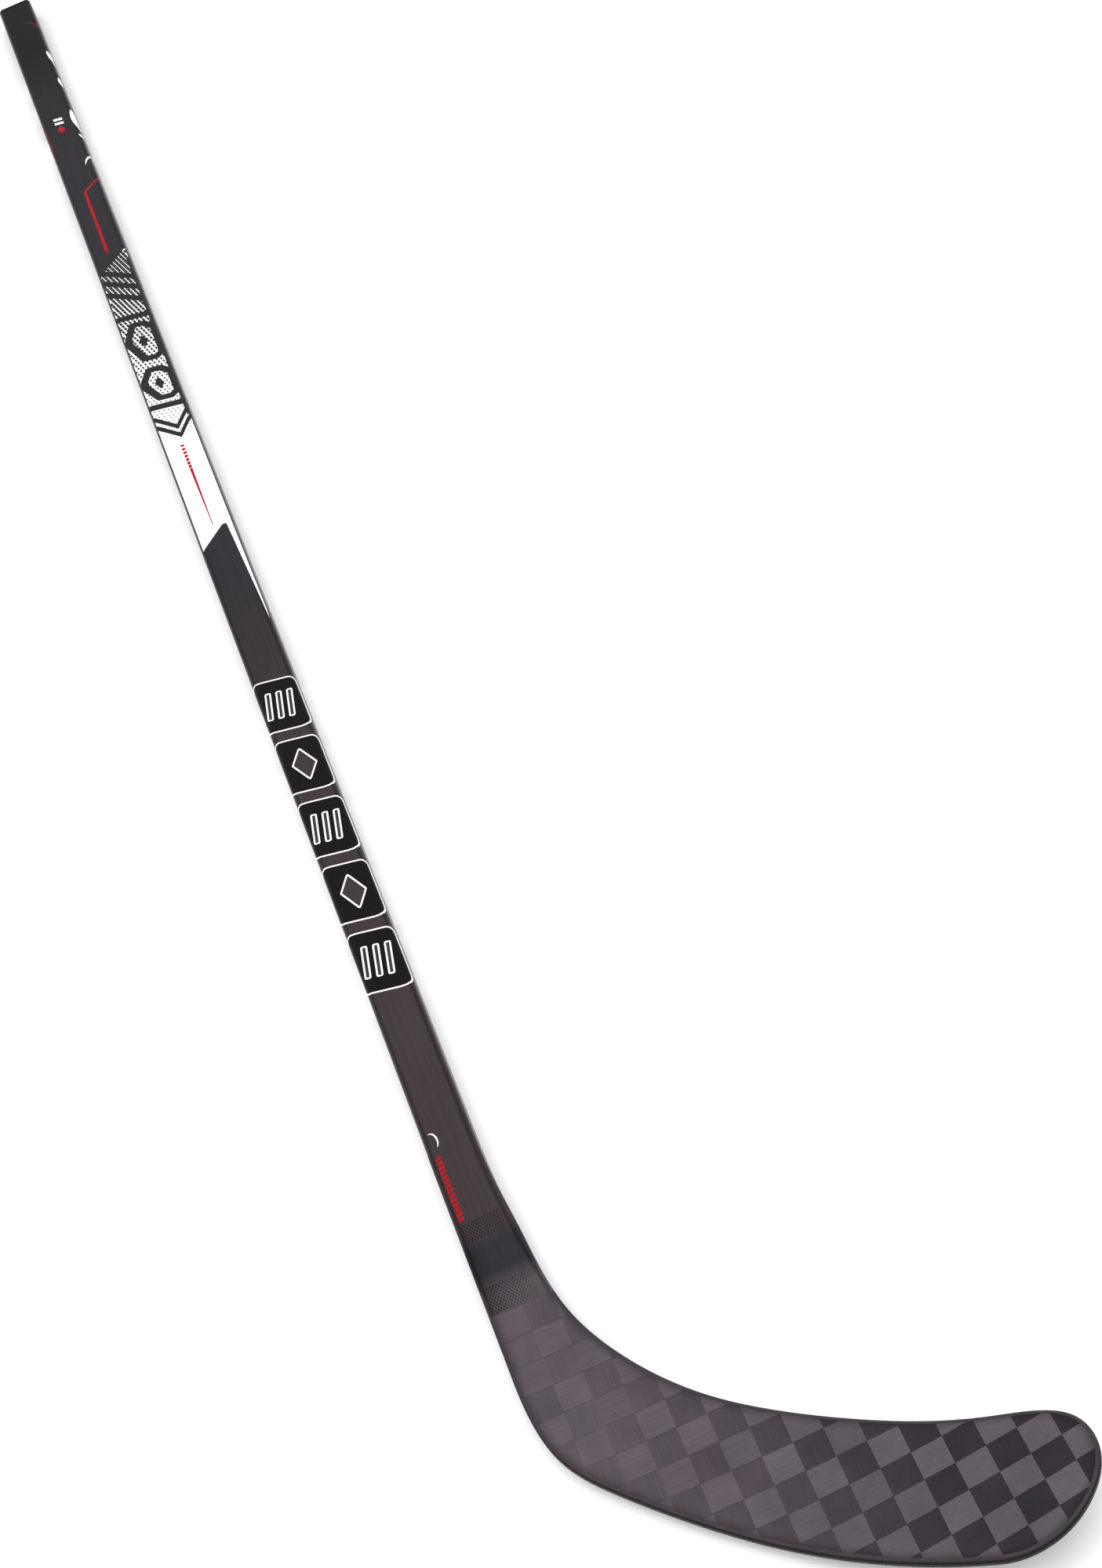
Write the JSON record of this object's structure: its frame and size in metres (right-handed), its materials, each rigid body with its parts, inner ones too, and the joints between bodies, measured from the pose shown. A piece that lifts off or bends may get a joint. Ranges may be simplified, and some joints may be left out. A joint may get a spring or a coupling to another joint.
{
  "type": "ice hockey stick",
  "caption": "Composite player's stick: rectangular hollow shaft, tapered hosel, foam-cored curved blade with checkered woven faces, and a pull-out end cap in the shaft.",
  "frame": {"origin": "middle of the shaft tube's flat underside, which is the wide face on the backhand side", "axes": "+Y up the shaft to the butt end, +X the side the blade leaves on, +Z out of the forehand face; the stick lies flat with its forehand face up"},
  "size_m": [0.2523, 1.7374, 0.0505],
  "materials": {
    "shaft_carbon": "painted carbon laminate, semi gloss clear coat",
    "cap_plastic": "moulded black plastic, fine matt grain",
    "adhesive": "cured structural epoxy",
    "core_laminate": "bare carbon laminate",
    "blade_carbon": "spread-tow checkered carbon under a satin clear coat",
    "edge_resin": "dark resin and carbon edge bead, semi gloss",
    "core_foam": "closed-cell structural foam"
  },
  "bodies": {
    "stick": {"shaft_tube": "shaft_carbon", "tenon_bond": "adhesive", "hosel_wrap": "shaft_carbon", "hosel_tenon": "core_laminate", "blade_front_skin": "blade_carbon", "blade_back_skin": "blade_carbon", "blade_top_edge": "edge_resin", "blade_sole_edge": "edge_resin", "blade_core_upper": "core_foam", "blade_core_lower": "core_foam", "blade_rib": "core_laminate"},
    "butt_cap": {"butt_end_cap": "cap_plastic"}
  },
  "joints": [
    {"name": "butt_cap_pull", "type": "slide", "parent": "stick", "child": "butt_cap", "axis": [0, 1, 0], "range_m": [0, 0.06]}
  ]
}
